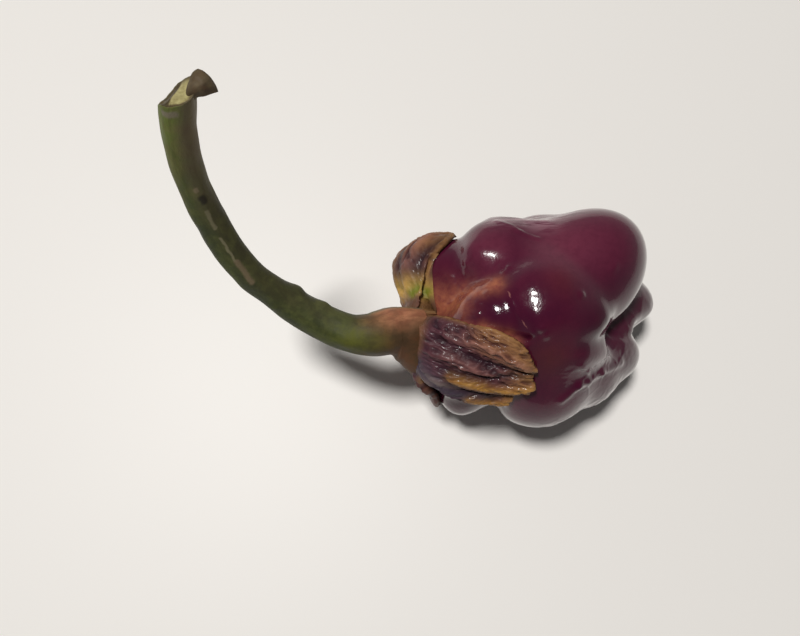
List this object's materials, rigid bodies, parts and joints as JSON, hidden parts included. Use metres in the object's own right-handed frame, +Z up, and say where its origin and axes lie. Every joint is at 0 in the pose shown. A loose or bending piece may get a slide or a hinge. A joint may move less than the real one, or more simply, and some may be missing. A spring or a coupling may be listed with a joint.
{
  "type": "chilli pepper",
  "caption": "Fresh purple chilli lying on its side: squat lobed pod, leathery split calyx on its shoulder, and a curved green stem rising to a torn end.",
  "frame": {"origin": "middle of the bottom of the whole pepper's box, on the surface it lies on", "axes": "+Z up, +X from the stem to the blossom end, +Y to the far side"},
  "size_m": [0.053, 0.026, 0.0444],
  "materials": {
    "pod_skin": "waxy gloss, thin ripening bronze near the calyx",
    "calyx_leaf": "satin, wrinkled, drying to gold at the edges",
    "stem_bark": "satin green skin, reddish at the foot, pale where torn"
  },
  "bodies": {
    "root": {"pod": "pod_skin", "calyx": "calyx_leaf", "stem": "stem_bark"}
  },
  "joints": []
}
